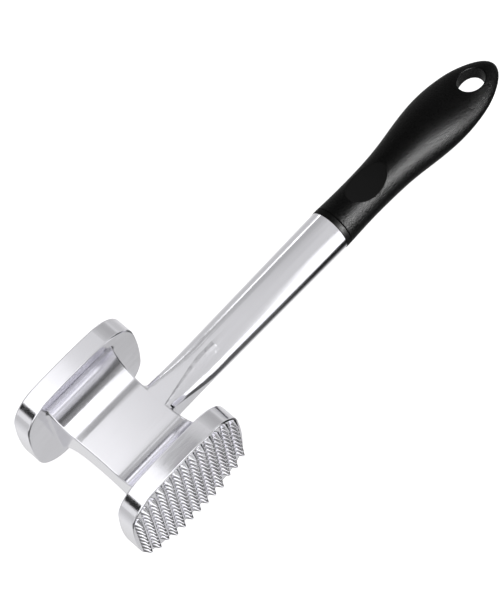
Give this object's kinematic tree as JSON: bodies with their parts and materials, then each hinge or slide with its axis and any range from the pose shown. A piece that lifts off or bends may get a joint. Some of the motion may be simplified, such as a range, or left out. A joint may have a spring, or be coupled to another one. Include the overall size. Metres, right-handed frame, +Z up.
{
  "type": "meat mallet",
  "caption": "Double-faced cast metal meat mallet: smooth and toothed striking plates on a flared web, tapered shaft that turns from square to round, contoured dark grip with an oval hanging hole.",
  "frame": {"origin": "centre of the smooth striking face", "axes": "+X along the shaft from the head to the grip, +Y out of the smooth striking face, +Z up as the mallet lies on its side (square to the shaft and level with the striking faces)"},
  "size_m": [0.2501, 0.0674, 0.0532],
  "materials": {
    "cast_aluminium": "satin polished",
    "black_skin": "fine matt grain",
    "black_collar": "smooth satin",
    "black_core": "moulded, hidden",
    "black_inlay": "soft, dead matt",
    "pin_steel": "plain, hidden"
  },
  "bodies": {
    "root": {"head_and_shaft": "cast_aluminium", "grip_collar": "black_collar", "grip_core": "black_core", "grip_skin": "black_skin", "thumb_inlay_upper": "black_inlay", "thumb_inlay_lower": "black_inlay", "cross_pin": "pin_steel"}
  },
  "joints": []
}
